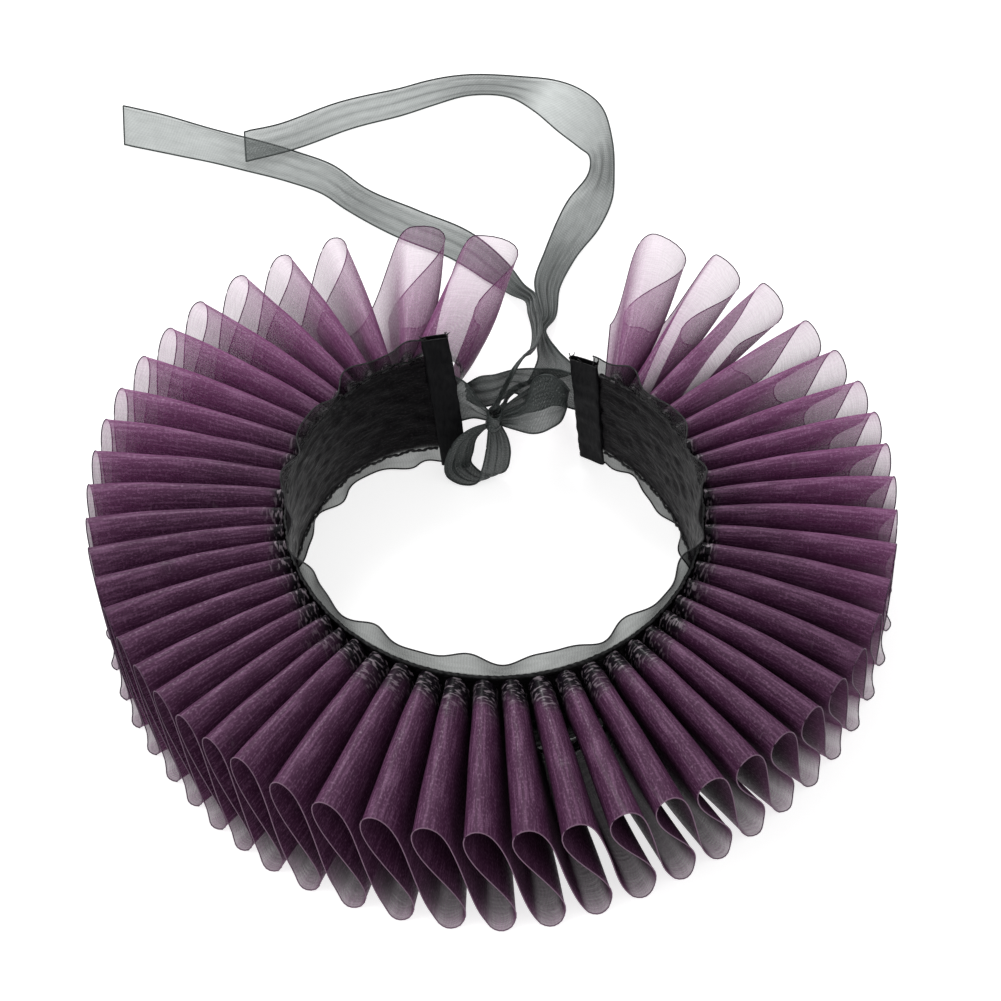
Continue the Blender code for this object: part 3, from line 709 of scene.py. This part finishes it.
def make_band():
    levels = np.linspace(0.0, 1.0, 37)
    grid, middle = band_grid(721, levels)
    crush = smooth_noise(grid.shape[:2], (60, 22), 11) * BAND_CRUSH
    crush += smooth_noise(grid.shape[:2], (150, 30), 12) * BAND_FINE_CRUSH
    grid = grid + normals_of(grid) * (crush * middle)[:, :, None]
    below = np.array(levels)[None, :] < 0.1
    front = 0.5 + 0.5 * np.cos(np.linspace(-math.pi, math.pi, len(grid)))[:, None]
    density = 1.0 + 6.5 * middle + 6.0 * below * front**3
    band = add_cloth("neckband_cloth", grid, BAND, density)
    edges = add_thread("neckband_edges", [grid[:, 0], grid[:, -1]], BAND_EDGE_THREAD, BLACK_THREAD)
    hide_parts("neckband")
    seams = []
    for height, outwards in ((LOW_SEAM, -BAND_WALL / 4.0), (TOP_SEAM, BAND_WALL / 3.0)):
        azimuth = np.linspace(BAND_FROM, BAND_TO, 1500)
        wobble = 0.00016 * np.sin(azimuth * 0.91) + 0.00008 * np.sin(azimuth * 2.37)
        seams.append(on_band(azimuth, height + wobble, outwards + wobble))
    seam = add_thread("neckband_seams", seams, SEAM_THREAD, BLACK_THREAD, bead=0.2, beads=9)
    return band


def make_end(name, start, end, top, seed):
    """A bound end: a strip folded round the band's cut edge, with a fold each side and a raw top."""
    turns = 40
    levels = 60
    height = np.linspace(END_FOOT, top, levels)
    half_wide = (end - start) / 2.0
    middle = (start + end) / 2.0
    rows = []
    for k in range(turns + 1):
        turn = 2.0 * math.pi * k / turns
        across = math.copysign(abs(math.cos(turn)) ** 0.25, math.cos(turn))
        out = math.copysign(abs(math.sin(turn)) ** 0.6, math.sin(turn))
        azimuth = middle + half_wide * 0.97 * across
        thick = (BAND_WALL - END_WALL) / 2.0 + out * END_WALL * 0.45
        rows.append(on_band(np.full(levels, azimuth), height, thick))
    grid = np.stack(rows, axis=0)
    crease = smooth_noise(grid.shape[:2], (10, 14), seed) * END_CREASE
    crease[-1] = crease[0]
    grid = grid + normals_of(grid) * crease[:, :, None]
    grid[-1] = grid[0]
    grid[:, :, 2] = np.maximum(grid[:, :, 2], 0.0003)
    piece = add_cloth(name, grid, BINDING)
    edges = [grid[:, 0], grid[:, levels - 1]]
    tuft = np.random.default_rng(seed)
    for _ in range(FRINGE_COUNT):
        k = int(tuft.integers(0, turns))
        foot = grid[k, -1]
        tip = foot + tuft.normal(0.0, 0.0006, 3) + np.array([0.0, 0.0, tuft.uniform(0.0004, 0.0016)])
        edges.append([foot, (foot + tip) / 2.0 + tuft.normal(0.0, 0.0002, 3), tip])
    fringe = add_thread(name + "_raw_edge", edges, FRINGE_THREAD, BLACK_THREAD, sides=4)
    return piece


# ---- ribbon


def smooth_rows(rows, step):
    """Sections read at even steps from a smooth curve through the given ones."""
    knots = np.array(rows) / 1000.0
    middle = (knots[:, :3] + knots[:, 3:]) / 2.0
    length = np.concatenate([[0.0], np.cumsum(np.linalg.norm(np.diff(middle, axis=0), axis=1))])
    slope = np.gradient(knots, length, axis=0)
    count = max(6, int(round(length[-1] / step)))
    found = []
    for at in np.linspace(0.0, length[-1], count + 1):
        i = min(int(np.searchsorted(length, at, side="right")) - 1, len(length) - 2)
        span = length[i + 1] - length[i]
        t = (at - length[i]) / span
        start = knots[i] * (1.0 + 2.0 * t) * (1.0 - t) ** 2 + slope[i] * span * t * (1.0 - t) ** 2
        end = knots[i + 1] * t * t * (3.0 - 2.0 * t) + slope[i + 1] * span * t * t * (t - 1.0)
        found.append(start + end)
    return np.array(found)


def make_ribbon(name, node, rows, seed, step=0.0012, free_end=False, layers=(1.0,)):
    """A stretch of ribbon. Where its two edges come together, it lies in folds along its length.

    Layers says how many thicknesses lie on each other, at even steps along the stretch.
    """
    sections = smooth_rows(rows, step)
    columns = 17
    share = np.linspace(0.0, 1.0, columns)[None, :, None]
    grid = sections[:, None, :3] * (1.0 - share) + sections[:, None, 3:] * share
    width = np.linalg.norm(sections[:, :3] - sections[:, 3:], axis=1)
    folded = np.clip(1.0 - width / RIBBON_WIDTH, 0.0, 1.0)
    ripple = np.sin(share[:, :, 0] * math.pi * 6.0) * np.sin(share[:, :, 0] * math.pi)
    depth = np.minimum(0.0011 * folded**0.8, width * 0.22)
    soft = smooth_noise(grid.shape[:2], (max(2, len(sections) // 14), 3), seed) * 0.0003
    facing = normals_of(grid)
    ahead, behind = np.roll(facing, -2, axis=0), np.roll(facing, 2, axis=0)
    steady = np.clip((ahead * behind).sum(axis=2), 0.0, 1.0) ** 2
    grid = grid + facing * ((ripple * depth[:, None] + soft) * steady)[:, :, None]
    grid[:, :, 2] = np.maximum(grid[:, :, 2], 0.0004)
    thick = np.interp(np.linspace(0.0, 1.0, len(sections)), np.linspace(0.0, 1.0, len(layers)), layers)
    density = (thick + 3.2 * folded**1.3)[:, None]
    piece = add_cloth(name, grid, RIBBON, density)
    edges = [grid[:, 0], grid[:, -1]]
    if free_end:
        edges.append(grid[0])
    edge = add_thread(name + "_edges", edges, RIBBON_EDGE_THREAD, RIBBON_EDGE)
    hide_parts(node)
    return piece


def make_knot():
    """The knot: one end of the ribbon wrapped round the crossing and pulled tight into small pleats."""
    rounds, across = 1.35, 15
    steps = 70
    rows = []
    for i in range(steps + 1):
        turn = -0.6 + 2.0 * math.pi * rounds * i / steps
        row = []
        for j in range(across):
            v = 2.0 * j / (across - 1) - 1.0
            waist = 1.0 - 0.16 * math.cos(v * math.pi) + 0.04 * math.sin(v * 9.0 + turn)
            out = (1.0 + 0.10 * i / steps) * waist * math.sqrt(max(0.05, 1.0 - 0.55 * v * v))
            row.append(KNOT_AT + np.array([
                KNOT_HALF[0] * 0.92 * out * math.cos(turn) + 0.0004 * v,
                KNOT_HALF[1] * 0.92 * out * math.sin(turn),
                KNOT_HALF[2] * 0.95 * v * (0.9 + 0.1 * math.cos(turn)),
            ]))
        rows.append(row)
    grid = np.array(rows)
    piece = add_cloth("ribbon_knot", grid, RIBBON, 6.0)
    edge = add_thread("ribbon_knot_edges", [grid[:, 0], grid[:, -1]], 0.00025, RIBBON_EDGE)
    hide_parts("knot")
    return piece


# ---- stage, light and camera


def make_stage():
    half, height = 3.0, -0.0003
    corners = [(x * half, y * half, height) for x, y in ((-1, -1), (1, -1), (1, 1), (-1, 1))]
    mesh = bpy.data.meshes.new("pale_floor")
    mesh.from_pydata(corners, [], [(0, 1, 2, 3)])
    mesh.materials.append(floor_finish())
    floor = bpy.data.objects.new("pale_floor", mesh)
    bpy.context.scene.collection.objects.link(floor)
    return floor


def add_light(name, place, aim, size, power):
    lamp = bpy.data.lights.new(name, "AREA")
    lamp.shape = "DISK"
    lamp.size = size
    lamp.energy = power
    obj = bpy.data.objects.new(name, lamp)
    bpy.context.scene.collection.objects.link(obj)
    obj.location = place
    obj.rotation_euler = (Vector(aim) - Vector(place)).to_track_quat("-Z", "Y").to_euler()
    return obj


def make_light():
    world = bpy.data.worlds.new("studio")
    bpy.context.scene.world = world
    world.use_nodes = True
    world.node_tree.nodes["Background"].inputs[0].default_value = (1.0, 1.0, 1.0, 1.0)
    world.node_tree.nodes["Background"].inputs[1].default_value = 0.80
    add_light("softbox_back", (-0.25, 0.75, 0.95), (0.0, -0.05, 0.0), 0.5, 9.0)
    add_light("softbox_left", (-0.95, -0.35, 0.75), (0.0, -0.05, 0.0), 0.6, 4.0)


CAMERA_ELEVATION = 51.913
CAMERA_DISTANCE = 0.900
PIXELS_PER_M = 3046.5
PHOTO_PX = 1001
CENTRE_PX = (494.05, 584.25)


def make_camera():
    lens = bpy.data.cameras.new("photo_camera")
    lens.sensor_width = 36.0
    lens.lens = 36.0 * PIXELS_PER_M * CAMERA_DISTANCE / PHOTO_PX
    lens.shift_x = (PHOTO_PX / 2.0 - CENTRE_PX[0]) / PHOTO_PX
    lens.shift_y = (CENTRE_PX[1] - PHOTO_PX / 2.0) / PHOTO_PX
    lens.clip_end = 20.0
    camera = bpy.data.objects.new("photo_camera", lens)
    bpy.context.scene.collection.objects.link(camera)
    up = math.radians(CAMERA_ELEVATION)
    camera.location = NECK + CAMERA_DISTANCE * np.array([0.0, -math.cos(up), math.sin(up)])
    camera.rotation_euler = (math.pi / 2.0 - up, 0.0, 0.0)
    bpy.context.scene.camera = camera


make_camera()
make_stage()
make_ruff()
make_band()
end_left = make_end(
    "end_left_binding", BAND_FROM - END_GAP - END_WIDTH, BAND_FROM - END_GAP, LEFT_END_TOP, 21)
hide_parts("end_left")
end_right = make_end(
    "end_right_binding", BAND_TO + END_GAP, BAND_TO + END_GAP + END_WIDTH, RIGHT_END_TOP, 22)
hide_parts("end_right")
make_ribbon(
    "tie_left_ribbon", "tie_left", LEFT_TIE, 31, 0.0008,
    layers=(4.0, 2.0, 2.0))
make_ribbon(
    "tie_right_ribbon", "tie_right", RIGHT_TIE, 32, 0.0010,
    layers=(3.4, 2.6, 4.2))
make_ribbon(
    "bow_loop_ribbon", "bow_loop", BOW_LOOP, 33, 0.0008,
    layers=(4.2, 2.8, 3.6, 4.2))
make_ribbon(
    "hanging_loop_ribbon", "hanging_loop", HANGING_LOOP, 34, 0.0008,
    layers=(3.4, 2.8, 3.6, 7.5, 7.0))
make_ribbon(
    "tail_long_ribbon", "tail_long", LONG_TAIL, 35, free_end=True,
    layers=(1.0, 1.0, 1.0, 1.1, 1.6, 2.0, 2.4))
make_ribbon(
    "tail_short_ribbon", "tail_short", SHORT_TAIL, 36, free_end=True,
    layers=(1.0, 0.7, 0.6, 0.7, 1.3, 1.3, 1.8, 2.4, 3.0))
make_knot()
make_light()

scene = bpy.context.scene
scene.view_settings.view_transform = "Standard"
scene.cycles.transparent_max_bounces = 8
